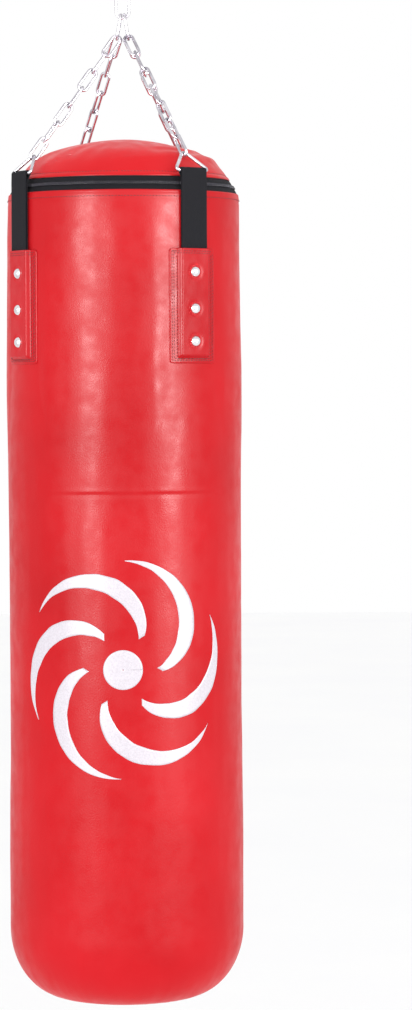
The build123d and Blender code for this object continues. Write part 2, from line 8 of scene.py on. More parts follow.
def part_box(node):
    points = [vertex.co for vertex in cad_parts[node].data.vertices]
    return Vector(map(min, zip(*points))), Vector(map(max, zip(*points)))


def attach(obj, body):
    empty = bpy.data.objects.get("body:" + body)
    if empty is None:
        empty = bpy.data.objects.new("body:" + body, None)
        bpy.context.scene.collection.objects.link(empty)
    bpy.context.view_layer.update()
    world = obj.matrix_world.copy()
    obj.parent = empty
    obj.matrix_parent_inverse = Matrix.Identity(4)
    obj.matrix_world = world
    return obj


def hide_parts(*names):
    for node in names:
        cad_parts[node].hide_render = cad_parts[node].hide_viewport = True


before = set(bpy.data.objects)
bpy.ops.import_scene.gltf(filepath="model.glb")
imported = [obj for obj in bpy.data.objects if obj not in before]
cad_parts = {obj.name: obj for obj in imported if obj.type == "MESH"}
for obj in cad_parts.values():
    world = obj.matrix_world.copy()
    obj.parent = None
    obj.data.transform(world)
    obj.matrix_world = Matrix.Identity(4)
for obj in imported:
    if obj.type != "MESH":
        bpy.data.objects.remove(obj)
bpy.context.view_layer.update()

# ---- sizes read from the frame ----
WALL_LOW, WALL_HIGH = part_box("cover_sidewall")
LID_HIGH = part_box("lid_cover")[1]
RADIUS = WALL_HIGH[0]
WALL_TOP = WALL_HIGH[2]
WALL_FOOT = WALL_LOW[2]
LID_TOP = LID_HIGH[2]
LID_EDGE = LID_HIGH[0]
BASE_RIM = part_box("cover_bottom")[1][0]

# ---- sizes of the sewn work, in metres and degrees ----
STRAPS = {"front_right": 37.0, "back_right": 142.0, "back_left": -152.0, "front_left": -59.0}

# leather shell: foot, lid and the band between
LEATHER = 0.0011
CORNER_WIDTH = 0.076
CORNER_HEIGHT = 0.094
SAG = 0.004
CROWN = 0.300
CROWN_REACH = 0.100
SHOULDER = 0.088
BAND_WIDTH = 0.022
BAND_RADIUS = 0.153
SEAM_AZIMUTH = 175.0
SEAM_ROW_OFFSET = 2.6
HINGE_HALF = 12.0
CREASE_Z = LID_TOP - 0.485
HEM_Z = WALL_TOP - 0.0085
SEAM_ROW_TOP = 0.012
SEAM_ROW_SPARE = 0.085
LID_ROW_INSET = 0.0045

# patches, rivets and webbing
PATCH_WIDTH = 0.075
PATCH_HEIGHT = 0.155
PATCH_LEATHER = 0.0015
PATCH_CORNER = 0.005
PATCH_ROW_INSETS = (0.0038, 0.0066)
HOLD_ROW_SIDE = 0.0268
HOLD_ROW_TOP = 0.010
HOLD_ROW_LENGTH = 0.138
HOLD_ROW_FOOT = 0.1492
STRAP_FACE = 0.1646
BULGE_FACE = 0.1663
WEBBING_WIDTH = 0.042
WEBBING = 0.0018
RING_BAR_RADIUS = 0.160
RING_BAR_DROP = 0.0042
LOOP_BEND = 0.0033
LOOP_LENGTH = 0.013
RIVET_DROPS = (0.0315, 0.081, 0.125)

# printed pinwheel
EMBLEM_DROP = 0.719
EMBLEM_RADIUS = 0.146
BLADES = 6
BLADE_ROOT = 0.050
BLADE_WIDTH = 0.023
BLADE_SWEEP = 1.55
BLADE_TILT = 0.5
HUB_RADIUS = 0.026

# zipper, measured down the band from its top edge
TAPE_UPPER = (0.0001, 0.0096)
TAPE_LOWER = (0.0124, 0.0219)
TRACK_GAP = 0.2
COIL_PITCH = 0.0024
COIL_WIRE = 0.00042

# curves of the lid's section
CROWN_ANGLE = math.asin(CROWN_REACH / CROWN)
SHOULDER_R = (CROWN - SHOULDER) * math.sin(CROWN_ANGLE)
SHOULDER_Z = LID_TOP - CROWN + (CROWN - SHOULDER) * math.cos(CROWN_ANGLE)
BAND_ANGLE = math.asin((LID_EDGE - SHOULDER_R) / SHOULDER)
BAND_OUT = (math.sin(BAND_ANGLE), math.cos(BAND_ANGLE))
BAND_DOWN = (math.cos(BAND_ANGLE), -math.sin(BAND_ANGLE))
BAND_TOP = (LID_EDGE, SHOULDER_Z + SHOULDER * math.cos(BAND_ANGLE))


# ---- small helpers ----
def smooth(low, high, value):
    """0 below low, 1 above high, eased between."""
    t = min(1.0, max(0.0, (value - low) / (high - low)))
    return t * t * (3 - 2 * t)


def spatial(radius, azimuth, z):
    """Point at a radius and an azimuth in degrees, 0 at the front and 90 at +X."""
    angle = math.radians(azimuth)
    return Vector((radius * math.sin(angle), -radius * math.cos(angle), z))


def apart(azimuth, other):
    """Signed difference between two azimuths, in degrees."""
    return (azimuth - other + 180) % 360 - 180


def wobble(x, y, z):
    return noise.noise(Vector((x, y, z)))


def build(name, verts, faces, material, body="bag", uvs=None):
    """Mesh object from points and faces, smooth shaded, riding on a body."""
    mesh = bpy.data.meshes.new(name)
    mesh.from_pydata([tuple(v) for v in verts], [], faces)
    mesh.validate()
    if uvs is not None:
        layer = mesh.uv_layers.new(name="UVMap")
        for loop in mesh.loops:
            layer.data[loop.index].uv = uvs[loop.vertex_index]
    mesh.polygons.foreach_set("use_smooth", [True] * len(mesh.polygons))
    mesh.update()
    obj = bpy.data.objects.new(name, mesh)
    bpy.context.collection.objects.link(obj)
    obj.data.materials.append(material)
    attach(obj, body)
    return obj


def grid_faces(rows, columns, wrap=False, offset=0, flip=False):
    """Quads of a grid of points stored row by row."""
    faces = []
    last = columns if wrap else columns - 1
    for row in range(rows - 1):
        for column in range(last):
            after = (column + 1) % columns
            quad = [row * columns + column, row * columns + after,
                    (row + 1) * columns + after, (row + 1) * columns + column]
            if flip:
                quad.reverse()
            faces.append([offset + index for index in quad])
    return faces


def slab(name, top, bottom, material, uvs=None, body="bag"):
    """Closed sheet between two grids of points of the same shape."""
    rows = len(top)
    columns = len(top[0])
    verts = [p for row in top for p in row] + [p for row in bottom for p in row]
    count = rows * columns
    faces = grid_faces(rows, columns) + grid_faces(rows, columns, offset=count, flip=True)
    rim = [(0, c) for c in range(columns - 1)] + [(r, columns - 1) for r in range(rows - 1)]
    rim += [(rows - 1, c) for c in range(columns - 1, 0, -1)] + [(r, 0) for r in range(rows - 1, 0, -1)]
    indices = [r * columns + c for r, c in rim]
    for a, b in zip(indices, indices[1:] + indices[:1]):
        faces.append([b, a, a + count, b + count])
    all_uvs = None
    if uvs is not None:
        flat = [uv for row in uvs for uv in row]
        all_uvs = flat + flat
    return build(name, verts, faces, material, body, all_uvs)


# ---- surface of the filled bag ----
def patch_calm(azimuth, z):
    """1 away from the patches and straps, small near them, where the cover is held flat."""
    nearest = min(abs(apart(azimuth, other)) for other in STRAPS.values())
    side = smooth(13, 22, nearest)
    below = smooth(0.33, 0.42, LID_TOP - z)
    return 0.15 + 0.85 * max(side * smooth(0.07, 0.14, LID_TOP - z), below)


def ripple(azimuth, z):
    """How far the stuffed wall stands from a true cylinder."""
    angle = math.radians(azimuth)
    x = math.sin(angle)
    y = -math.cos(angle)
    wave = 0.0017 * wobble(x * 1.3, y * 1.3, z * 2.6)
    wave += 0.0009 * wobble(x * 3.1 + 7, y * 3.1, z * 6.0)
    wave += 0.00035 * wobble(x * 9 + 3, y * 9, z * 16)
    swell = 0.0016 * math.exp(-((LID_TOP - z - 0.34) / 0.10) ** 2)
    front = smooth(55, 25, abs(apart(azimuth, 8)))
    crease_line = CREASE_Z + 0.0012 * wobble(x * 4, y * 4, 2.0)
    crease = -0.0011 * front * math.exp(-((z - crease_line) / 0.0022) ** 2)
    lip = 0.0005 * front * math.exp(-((z - crease_line - 0.005) / 0.0030) ** 2)
    flap = 0.0010 * smooth(0.4, 0.0, abs(apart(azimuth, SEAM_AZIMUTH)) - 3.6)
    calm = patch_calm(azimuth, z)
    return max(-0.0002, calm * (wave + 0.0007)) + calm * (crease + lip + swell) + flap


def wall_point(azimuth, z, proud=0.0):
    return spatial(RADIUS + ripple(azimuth, z) + proud, azimuth, z)


def wall_profile():
    """(radius, z, how much of the ripple it takes) from the hem to the bottom seam."""
    rows = []
    hem_r = BAND_TOP[0] + BAND_WIDTH * BAND_DOWN[0]
    hem_z = BAND_TOP[1] + BAND_WIDTH * BAND_DOWN[1]
    edge_bend = (RADIUS - hem_r) / (1 - math.sin(BAND_ANGLE))
    centre_r = hem_r - edge_bend * BAND_OUT[0]
    centre_z = hem_z - edge_bend * BAND_OUT[1]
    rows.append((hem_r - 0.0016 * BAND_OUT[0], hem_z - 0.0016 * BAND_OUT[1], 0.0))
    rows.append((hem_r - 0.0006 * BAND_OUT[0] - 0.0006 * BAND_DOWN[0], hem_z + 0.0003, 0.0))
    for step in range(9):
        angle = BAND_ANGLE + (math.pi / 2 - BAND_ANGLE) * step / 8
        roll = 0.0007 * math.exp(-((step - 1.2) / 1.6) ** 2)
        rows.append((centre_r + (edge_bend + roll) * math.sin(angle),
                     centre_z + (edge_bend + roll) * math.cos(angle), 0.25 * step / 8))
    fold = rows[-1][1] - 0.0035
    low = WALL_FOOT + CORNER_HEIGHT
    steps = 420
    for step in range(1, steps + 1):
        z = rows[10][1] + (low - rows[10][1]) * step / steps
        groove = -0.0007 * math.exp(-((z - fold) / 0.0013) ** 2)
        rows.append((RADIUS + groove, z, 0.25 + 0.75 * smooth(0, 0.05, fold - z)))
    for step in range(1, 33):
        angle = math.pi / 2 * step / 32
        rows.append((RADIUS - CORNER_WIDTH + CORNER_WIDTH * math.cos(angle),
                     low - CORNER_HEIGHT * math.sin(angle), 1 - 0.85 * step / 32))
    rows.append((RADIUS - CORNER_WIDTH - 0.002, WALL_FOOT + 0.0018, 0.0))
    return rows


def make_wall(material):
    """Stuffed leather tube, with its back seam, hem and rounded foot."""
    columns = 360
    rows = wall_profile()
    verts = []
    uvs = []
    for radius, z, share in rows:
        for column in range(columns):
            azimuth = 360 * column / columns
            pucker = 0.0
            if z < WALL_FOOT + CORNER_HEIGHT:
                depth = 1 - (z - WALL_FOOT) / CORNER_HEIGHT
                pucker = 0.0009 * depth ** 2 * wobble(azimuth / 4.5, 3.0, depth * 2)
            verts.append(spatial(radius + share * ripple(azimuth, z) + pucker, azimuth, z))
            uvs.append((azimuth / 360, z))
    wall = build("bag_wall", verts, grid_faces(len(rows), columns, wrap=True, flip=True), material,
                 uvs=uvs)
    thicken(wall, LEATHER)
    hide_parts("cover_sidewall")


def thicken(obj, thickness):
    """Give a one-sided shell its leather thickness, inward."""
    modifier = obj.modifiers.new("thickness", "SOLIDIFY")
    modifier.thickness = thickness
    modifier.offset = -1
    bpy.context.view_layer.objects.active = obj
    with bpy.context.temp_override(object=obj, active_object=obj, selected_objects=[obj]):
        bpy.ops.object.modifier_apply(modifier=modifier.name)


def lid_height(radius, azimuth):
    """Soft folds of the lid's leather, none at its sewn edge."""
    angle = math.radians(azimuth)
    x = radius * math.sin(angle)
    y = -radius * math.cos(angle)
    share = smooth(0.004, 0.022, LID_EDGE - radius)
    broad = 0.0016 + 0.0030 * wobble(x * 9 + 2, y * 9, 1.0)
    out = 0.0016 * wobble(math.sin(angle) * 5, math.cos(angle) * 5, radius * 22)
    out *= smooth(0.05, 0.11, radius)
    right = smooth(50, 15, abs(apart(azimuth, 62)))
    fold = 0.0022 * right * smooth(0.08, 0.11, radius)
    fold *= math.cos(radius * 260 + 1.6 * wobble(x * 20, y * 20, 4))
    return share * max(-0.0001, broad + out + fold * 0.6)


def make_lid(material):
    """Domed lid, from its crown round the shoulder to the sewn edge."""
    columns = 300
    profile = []
    for step in range(1, 45):
        angle = CROWN_ANGLE * step / 44
        profile.append((CROWN * math.sin(angle), LID_TOP - CROWN + CROWN * math.cos(angle)))
    for step in range(1, 61):
        angle = CROWN_ANGLE + (BAND_ANGLE - CROWN_ANGLE) * step / 60
        profile.append((SHOULDER_R + SHOULDER * math.sin(angle), SHOULDER_Z + SHOULDER * math.cos(angle)))
    verts = [Vector((0, 0, LID_TOP + lid_height(0, 0)))]
    uvs = [(0.5, 0.5)]
    for radius, z in profile:
        for column in range(columns):
            azimuth = 360 * column / columns
            angle = math.radians(azimuth)
            welt = 0.0009 * math.exp(-((LID_EDGE - radius - 0.0012) / 0.0016) ** 2)
            groove = -0.0006 * math.exp(-((LID_EDGE - radius - LID_ROW_INSET) / 0.0010) ** 2)
            lift = lid_height(radius, azimuth) + welt + groove
            verts.append(spatial(radius + 0.35 * lift, azimuth, z + lift))
            uvs.append((0.5 + radius * math.sin(angle), 0.5 + radius * math.cos(angle)))
    faces = [[0, 1 + (column + 1) % columns, 1 + column] for column in range(columns)]
    faces += grid_faces(len(profile), columns, wrap=True, offset=1)
    faces = [list(reversed(face)) for face in faces]
    lid = build("lid_top", verts, faces, material, uvs=uvs)
    thicken(lid, LEATHER)
    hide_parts("lid_cover")


def make_base(material):
    """Bottom disc, sagging a little under the filling."""
    columns = 180
    verts = [Vector((0, 0, WALL_FOOT - SAG))]
    rings = 26
    for ring in range(1, rings + 1):
        radius = BASE_RIM * ring / rings
        for column in range(columns):
            azimuth = 360 * column / columns
            z = WALL_FOOT - SAG * (1 - (radius / BASE_RIM) ** 2)
            z += 0.0012 * wobble(radius * 20, azimuth / 40, 5) * (1 - (radius / BASE_RIM) ** 2)
            verts.append(spatial(radius, azimuth, z))
    faces = [[0, 1 + column, 1 + (column + 1) % columns] for column in range(columns)]
    faces += grid_faces(rings, columns, wrap=True, offset=1, flip=True)
    faces = [list(reversed(face)) for face in faces]
    base = build("base_disc", verts, faces, material)
    thicken(base, LEATHER)
    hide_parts("cover_bottom")


# ---- stitches ----
def stitch_row(points, normals, length=0.0032, gap=0.0011, width=0.00042):
    """Short thread capsules laid along a line of points: vertices and faces."""
    sides = 6
    sections = ((0.0, 0.25, -0.6), (0.18, 0.9, 0.35), (0.5, 1.0, 0.7), (0.82, 0.9, 0.35), (1.0, 0.25, -0.6))
    verts = []
    faces = []
    travelled = 0.0
    lengths = [(b - a).length for a, b in zip(points, points[1:])]
    total = sum(lengths)
    step = length + gap

    def at(distance):
        left = distance
        for index, span in enumerate(lengths):
            if left <= span or index == len(lengths) - 1:
                t = left / span if span else 0
                return points[index].lerp(points[index + 1], t), normals[index]
            left -= span

    while travelled + length < total:
        start, normal = at(travelled)
        end = at(travelled + length)[0]
        direction = (end - start).normalized()
        side = direction.cross(normal).normalized()
        base = len(verts)
        for along, size, lift in sections:
            middle = start.lerp(end, along) + normal * (width * lift)
            for corner in range(sides):
                angle = 2 * math.pi / sides * corner
                offset = side * math.cos(angle) + normal * math.sin(angle)
                verts.append(middle + offset * (width * size))
        for ring in range(len(sections) - 1):
            for corner in range(sides):
                after = (corner + 1) % sides
                a = base + ring * sides
                faces.append([a + corner, a + after, a + sides + after, a + sides + corner])
        far_end = base + (len(sections) - 1) * sides
        faces.append([base + corner for corner in range(sides - 1, -1, -1)])
        faces.append([far_end + corner for corner in range(sides)])
        travelled += step
    return verts, faces


def make_stitches(name, rows, material):
    """One piece from several rows of stitches."""
    verts = []
    faces = []
    for points, normals in rows:
        more_verts, more_faces = stitch_row(points, normals)
        faces += [[index + len(verts) for index in face] for face in more_faces]
        verts += more_verts
    build(name, verts, faces, material)


# ---- patches ----
def patch_relief(side, drop):
    """Radius of a patch's outer face at a place across it and down it."""
    ring = RADIUS + 0.0003 + PATCH_LEATHER
    plane = math.hypot(BULGE_FACE, side)
    over = smooth(0.0262, 0.0215, abs(side)) * smooth(0.1485, 0.1435, drop)
    crown = 0.0004 * (1 - (side / 0.022) ** 2) if abs(side) < 0.022 else 0.0
    radius = ring + (plane + crown * smooth(0.004, 0.02, drop) - ring) * over
    for rivet in RIVET_DROPS:
        away = math.hypot(side, drop - rivet)
        radius -= 0.0007 * math.exp(-((away - 0.0085) / 0.0030) ** 2) * over
    for inset in PATCH_ROW_INSETS:
        edge = min(PATCH_WIDTH / 2 - abs(side), drop, PATCH_HEIGHT - drop)
        radius -= 0.00028 * math.exp(-((edge - inset) / 0.0007) ** 2)
    border = min(PATCH_WIDTH / 2 - abs(side), PATCH_HEIGHT - drop)
    radius -= 0.0008 * smooth(0.0014, 0.0, border)
    radius += 0.00025 * wobble(side * 90, drop * 70, 2.5)
    return radius


def patch_half_width(drop):
    """Half the width of a patch at a drop from its top, with its corners rounded."""
    depth = min(drop, PATCH_HEIGHT - drop)
    if depth >= PATCH_CORNER:
        return PATCH_WIDTH / 2
    return PATCH_WIDTH / 2 - (PATCH_CORNER - math.sqrt(PATCH_CORNER ** 2 - (PATCH_CORNER - depth) ** 2))


def patch_point(azimuth, top, side, drop, proud=0.0):
    radius = patch_relief(side, drop) + proud
    return spatial(radius, azimuth + math.degrees(math.asin(side / radius)), top - drop)


def make_patch(place, azimuth, leather, thread):
    """Leather patch raised over the strap, with its rows of stitches."""
    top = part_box("strap_patch_" + place)[1][2]
    rows = 150
    columns = 76
    outer = []
    inner = []
    uvs = []
    for row in range(rows + 1):
        drop = PATCH_HEIGHT * row / rows
        half = patch_half_width(drop)
        outer_row = []
        inner_row = []
        uv_row = []
        for column in range(columns + 1):
            side = half * (2 * column / columns - 1)
            outer_row.append(patch_point(azimuth, top, side, drop))
            under = patch_relief(side, drop) - 0.0012
            radius = max(RADIUS + 0.0001, under) if abs(side) > 0.0225 else under
            heading = azimuth + math.degrees(math.asin(side / radius))
            inner_row.append(spatial(radius, heading, top - drop))
            uv_row.append((side, drop))
        outer.append(outer_row)
        inner.append(inner_row)
        uvs.append(uv_row)
    patch = slab("patch_" + place, outer, inner, leather, uvs)
    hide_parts("strap_patch_" + place)
    rows = []
    for inset in PATCH_ROW_INSETS:
        half = PATCH_WIDTH / 2 - inset
        low = PATCH_HEIGHT - inset
        line = [(-half, 0.003 + low * i / 60) for i in range(0, 59)]
        line += [(-half + 2 * half * i / 30, low) for i in range(0, 31)]
        line += [(half, low - (low - 0.003) * i / 60) for i in range(1, 60)]
        rows.append(line)
        rows.append([(-half + 2 * half * i / 30, inset) for i in range(0, 31)])
    for side in (-HOLD_ROW_SIDE, HOLD_ROW_SIDE):
        rows.append([(side, HOLD_ROW_TOP + HOLD_ROW_LENGTH * i / 50) for i in range(51)])
    rows.append([(-HOLD_ROW_SIDE + 2 * HOLD_ROW_SIDE * i / 24, HOLD_ROW_FOOT) for i in range(25)])
    lines = []
    for line in rows:
        points = [patch_point(azimuth, top, side, drop, 0.00012) for side, drop in line]
        normals = [spatial(1, azimuth + math.degrees(side / RADIUS), 0) for side, drop in line]
        lines.append((points, normals))
    make_stitches("patch_stitching_" + place, lines, thread)


# ---- straps ----
def make_strap(place, azimuth, material):
    """Webbing looped over the ring's bar: two plies that meet below it."""
    low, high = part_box("strap_" + place)
    bar_z = high[2] - RING_BAR_DROP
    bar_r = RING_BAR_RADIUS
    loop = LOOP_BEND
    mid_out = STRAP_FACE - WEBBING / 2
    mid_in = STRAP_FACE - 1.5 * WEBBING
    pinch = bar_z - LOOP_LENGTH
    path = [(mid_out, low[2] + (pinch - low[2]) * i / 60) for i in range(61)]
    path += [(mid_out + (bar_r + loop - mid_out) * smooth(0, 1, i / 8), pinch + (bar_z - pinch) * i / 8)
             for i in range(1, 8)]
    path += [(bar_r + loop * math.cos(math.pi * i / 12), bar_z + loop * math.sin(math.pi * i / 12))
             for i in range(13)]
    path += [(bar_r - loop + (mid_in - bar_r + loop) * smooth(0, 1, i / 8), bar_z - (bar_z - pinch) * i / 8)
             for i in range(1, 9)]
    path += [(mid_in, pinch + (low[2] - pinch) * i / 40) for i in range(1, 41)]
    outward = spatial(1, azimuth, 0)
    around = spatial(1, azimuth + 90, 0)
    columns = 28
    outer = []
    inner = []
    uvs = []
    travelled = 0.0
    for index, (radius, z) in enumerate(path):
        before = path[max(0, index - 1)]
        after = path[min(len(path) - 1, index + 1)]
        tangent = Vector((after[0] - before[0], after[1] - before[1])).normalized()
        normal = Vector((tangent.y, -tangent.x))
        if index:
            travelled += math.hypot(radius - before[0], z - before[1])
        outer_row = []
        inner_row = []
        uv_row = []
        for column in range(columns + 1):
            side = WEBBING_WIDTH * (column / columns - 0.5)
            round_edge = smooth(0.0, 0.0011, WEBBING_WIDTH / 2 - abs(side))
            half = WEBBING / 2 * (0.35 + 0.6 * round_edge)
            sway = 0.0004 * wobble(side * 30, travelled * 14, azimuth)
            for target, sign in ((outer_row, 1), (inner_row, -1)):
                r = radius + normal.x * half * sign + sway
                height = z + normal.y * half * sign
                target.append(outward * r + around * side + Vector((0, 0, height)))
            uv_row.append((side, travelled))
        outer.append(outer_row)
        inner.append(inner_row)
        uvs.append(uv_row)
    strap = slab("webbing_" + place, outer, inner, material, uvs)
    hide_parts("strap_" + place)


# ---- zipper ----
def band_point(azimuth, down, proud):
    """Point on the band between lid and wall: down from its top edge, and proud of it."""
    angle = math.radians(azimuth)
    sway = 0.0005 * wobble(math.sin(angle) * 4, math.cos(angle) * 4, 9)
    shift = down + sway * smooth(0, 0.004, min(down, BAND_WIDTH - down))
    return spatial(BAND_TOP[0] + shift * BAND_DOWN[0] + proud * BAND_OUT[0], azimuth,
                   BAND_TOP[1] + shift * BAND_DOWN[1] + proud * BAND_OUT[1])


def band_slab(name, start, end, down_range, material):
    """Woven or leather strip in the band between the lid and the wall."""
    low, high = down_range
    steps = int(abs(end - start) * 1.2)
    across = 12
    outer = []
    inner = []
    uvs = []
    for step in range(steps + 1):
        azimuth = start + (end - start) * step / steps
        outer_row = []
        inner_row = []
        uv_row = []
        for index in range(across + 1):
            down = low + (high - low) * index / across
            cup = 0.0004 * math.sin(math.pi * index / across)
            outer_row.append(band_point(azimuth, down, -0.0002 + cup - 0.0003))
            inner_row.append(band_point(azimuth, down, -0.0012))
            uv_row.append((math.radians(azimuth) * BAND_RADIUS, down))
        outer.append(outer_row)
        inner.append(inner_row)
        uvs.append(uv_row)
    return slab(name, outer, inner, material, uvs)


def make_coil(name, side, start, end, material, node):
    """Spiral teeth of the zipper, one closed loop of monofilament for each turn."""
    turns = int(math.radians(abs(end - start)) * BAND_RADIUS / COIL_PITCH)
    verts = []
    faces = []
    middle = BAND_WIDTH / 2
    near = middle - side * 0.0004
    far = middle + side * 0.0023
    around_count = 10
    tube = 5
    for turn in range(turns):
        azimuth = start + (end - start) * (turn + 0.5 + 0.25 * side) / turns
        base = len(verts)
        for step in range(around_count):
            angle = 2 * math.pi * step / around_count
            down = (near + far) / 2 + (far - near) / 2 * math.cos(angle)
            proud = 0.00078 + 0.00055 * math.sin(angle)
            for corner in range(tube):
                turn_angle = 2 * math.pi * corner / tube
                spread = COIL_WIRE * math.cos(turn_angle)
                lift = COIL_WIRE * math.sin(turn_angle)
                verts.append(band_point(azimuth + math.degrees(spread / BAND_RADIUS),
                                        down + lift * math.cos(angle), proud + lift * math.sin(angle)))
        for step in range(around_count):
            for corner in range(tube):
                a = base + step * tube + corner
                b = base + step * tube + (corner + 1) % tube
                c = base + ((step + 1) % around_count) * tube + (corner + 1) % tube
                d = base + ((step + 1) % around_count) * tube + corner
                faces.append([a, b, c, d])
    coil = build(name, verts, faces, material)
    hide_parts(node)


def ring_line(azimuths, place, proud):
    """Points and outward directions of a row of stitches round the bag."""
    points = [place(azimuth, proud) for azimuth in azimuths]
    normals = [spatial(1, azimuth, 0) for azimuth in azimuths]
    return points, normals


# ---- emblem: a plain pinwheel of brush-like blades ----
def blade_grid(index):
    """Points (across, up) of one tapered blade of the pinwheel."""
    start = 2 * math.pi * index / BLADES
    grid = []
    steps = 40
    for step in range(steps + 1):
        t = step / steps
        reach = BLADE_ROOT + (EMBLEM_RADIUS - BLADE_ROOT) * math.sin(math.pi / 2 * t) ** 0.9
        angle = start + BLADE_SWEEP * t
        width = BLADE_WIDTH * math.sin(math.pi * (0.06 + 0.94 * t) ** 0.75) + 0.0006
        row = []
        for across in range(9):
            offset = width * (across / 8 - 0.5)
            rough = 0.0009 * wobble(t * 14, across * 0.4, index * 3.7) * abs(across / 8 - 0.5) * 2
            radius = reach + (offset + rough) * math.cos(BLADE_TILT)
            swing = angle - (offset + rough) * math.sin(BLADE_TILT) / reach
            row.append((radius * math.cos(swing), radius * math.sin(swing)))
        grid.append(row)
    return grid


def hub_grid():
    """Rounded centre of the pinwheel."""
    grid = []
    for ring in range(13):
        radius = 0.0006 + HUB_RADIUS * ring / 12
        angles = [2 * math.pi * i / 72 for i in range(73)]
        grid.append([(radius * math.cos(angle), radius * math.sin(angle)) for angle in angles])
    return grid


def make_emblem(material):
    """Thin print that follows the wall: the blades and the hub."""
    centre = LID_TOP - EMBLEM_DROP
    grids = [blade_grid(index) for index in range(BLADES)] + [hub_grid()]
    for number, grid in enumerate(grids):
        outer = []
        inner = []
        for row in grid:
            outer.append([wall_point(math.degrees(x / RADIUS), centre + z, 0.00030) for x, z in row])
            inner.append([wall_point(math.degrees(x / RADIUS), centre + z, 0.00008) for x, z in row])
        name = "print_hub" if number == BLADES else "print_blade_%d" % (number + 1)
        slab(name, outer, inner, material)


# ---- materials ----
def new_material(name):
    material = bpy.data.materials.new(name)
    material.use_nodes = True
    nodes = material.node_tree.nodes
    return material, nodes, material.node_tree.links, nodes["Principled BSDF"]


def set_values(shader, **values):
    for key, value in values.items():
        shader.inputs[key.replace("_", " ")].default_value = value


def noise_node(nodes, links, source, scale, detail=4.0, stretch=None):
    texture = nodes.new("ShaderNodeTexNoise")
    texture.inputs["Scale"].default_value = scale
    texture.inputs["Detail"].default_value = detail
    vector = source
    if stretch:
        mapping = nodes.new("ShaderNodeMapping")
        mapping.inputs["Scale"].default_value = stretch
        links.new(source, mapping.inputs["Vector"])
        vector = mapping.outputs["Vector"]
    links.new(vector, texture.inputs["Vector"])
    return texture


def ramp_node(nodes, links, source, stops):
    ramp = nodes.new("ShaderNodeValToRGB")
    elements = ramp.color_ramp.elements
    elements[0].position, elements[0].color = stops[0][0], stops[0][1]
    elements[1].position, elements[1].color = stops[-1][0], stops[-1][1]
    for position, colour in stops[1:-1]:
        element = elements.new(position)
        element.color = colour
    links.new(source, ramp.inputs["Fac"])
    return ramp


def bump_chain(nodes, links, shader, layers):
    """Stack height sources into the shader's normal: (socket, distance, strength)."""
    previous = None
    for socket, distance, strength in layers:
        bump = nodes.new("ShaderNodeBump")
        bump.inputs["Distance"].default_value = distance
        bump.inputs["Strength"].default_value = strength
        links.new(socket, bump.inputs["Height"])
        if previous:
            links.new(previous.outputs["Normal"], bump.inputs["Normal"])
        previous = bump
    links.new(previous.outputs["Normal"], shader.inputs["Normal"])


def leather(name, dark, main, light, roughness=0.40, coat=0.02):
    """Artificial leather: fine pebble grain, soft wrinkles, worn and cleaner areas."""
    material, nodes, links, shader = new_material(name)
    place = nodes.new("ShaderNodeTexCoord").outputs["Object"]
    broad = noise_node(nodes, links, place, 5.0, 3.0)
    stops = [(0.30, dark), (0.52, main), (0.74, light)]
    colour = ramp_node(nodes, links, broad.outputs["Fac"], stops)
    links.new(colour.outputs["Color"], shader.inputs["Base Color"])
    grain = nodes.new("ShaderNodeTexVoronoi")
    grain.feature = "SMOOTH_F1"
    grain.inputs["Scale"].default_value = 620.0
    links.new(place, grain.inputs["Vector"])
    wrinkle = noise_node(nodes, links, place, 46.0, 6.0)
    shine = ramp_node(nodes, links, wrinkle.outputs["Fac"], [
        (0.35, (roughness - 0.07,) * 3 + (1,)), (0.68, (roughness + 0.09,) * 3 + (1,))])
    links.new(shine.outputs["Color"], shader.inputs["Roughness"])
    bump_chain(nodes, links, shader, [
        (wrinkle.outputs["Fac"], 0.0006, 0.35), (grain.outputs["Distance"], 0.00022, 0.55)])
    set_values(shader, IOR=1.5, Specular_IOR_Level=0.12, Coat_Weight=coat, Coat_Roughness=0.32,
               Sheen_Weight=0.03, Sheen_Roughness=0.45, Sheen_Tint=(1.0, 0.72, 0.80, 1))
    return material


def woven(name, base, thread, ribs=1500.0, rows=900.0, roughness=0.75):
    """Webbing or tape: diagonal ribs crossed by picks, from the piece's own UVs in metres."""
    material, nodes, links, shader = new_material(name)
    uv = nodes.new("ShaderNodeUVMap")
    uv.uv_map = "UVMap"
    waves = []
    for direction, scale in (("X", ribs), ("Y", rows), ("DIAGONAL", ribs * 0.5)):
        wave = nodes.new("ShaderNodeTexWave")
        wave.bands_direction = direction
        wave.inputs["Scale"].default_value = scale / 6.2832
        wave.inputs["Distortion"].default_value = 0.6
        wave.inputs["Detail"].default_value = 1.0
        links.new(uv.outputs["UV"], wave.inputs["Vector"])
        waves.append(wave)
    mix = nodes.new("ShaderNodeMath")
    mix.operation = "MULTIPLY"
    links.new(waves[0].outputs["Fac"], mix.inputs[0])
    links.new(waves[1].outputs["Fac"], mix.inputs[1])
    ramp = ramp_node(nodes, links, mix.outputs["Value"], [(0.0, base), (0.9, thread)])
    links.new(ramp.outputs["Color"], shader.inputs["Base Color"])
    bump_chain(nodes, links, shader, [
        (waves[2].outputs["Fac"], 0.0003, 0.5), (mix.outputs["Value"], 0.0004, 0.8)])
    set_values(shader, Roughness=roughness, Specular_IOR_Level=0.10,
               Sheen_Weight=0.02, Sheen_Roughness=0.5)
    return material


